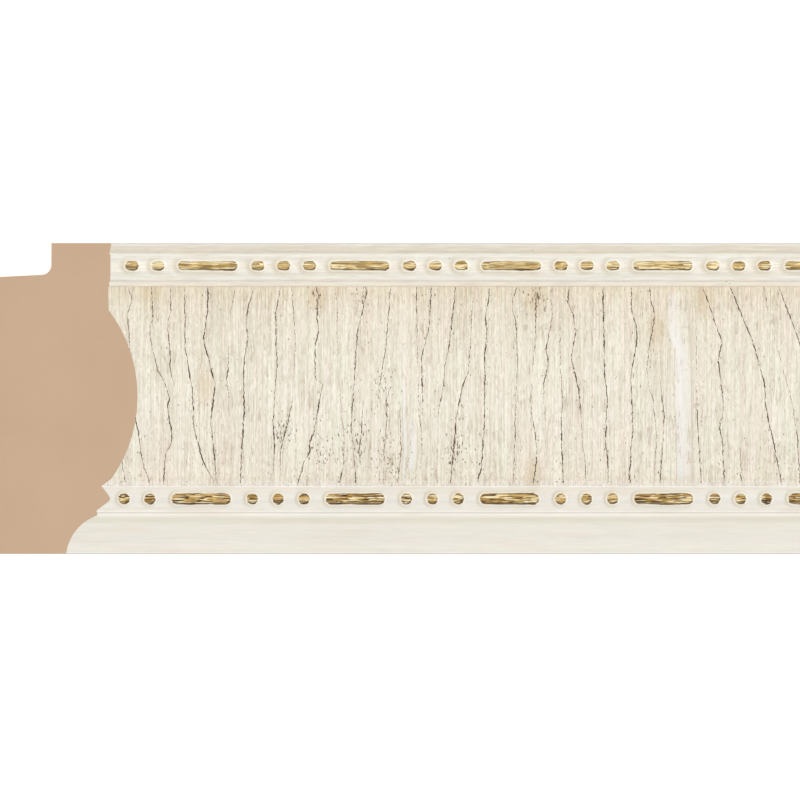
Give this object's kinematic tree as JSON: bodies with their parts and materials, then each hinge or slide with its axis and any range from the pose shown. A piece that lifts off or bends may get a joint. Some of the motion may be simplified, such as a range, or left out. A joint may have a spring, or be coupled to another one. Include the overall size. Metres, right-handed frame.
{
  "type": "cornice moulding",
  "caption": "Flat-backed cornice moulding with a bulging crackle-glazed field between gilded bead-and-bar rows, a cove foot, a rebate behind its upper edge and a mitred end.",
  "frame": {"origin": "middle of the length and of the width, on the flat back", "axes": "+X along the length from the mitred end to the square end, +Y across the face towards the rebated upper edge, +Z out of the face"},
  "size_m": [2, 0.09, 0.04],
  "materials": {
    "painted_foam": "cream lacquer with a crackle glaze and gilded high points over tan rigid foam"
  },
  "bodies": {
    "root": {"moulding": "painted_foam"}
  },
  "joints": []
}
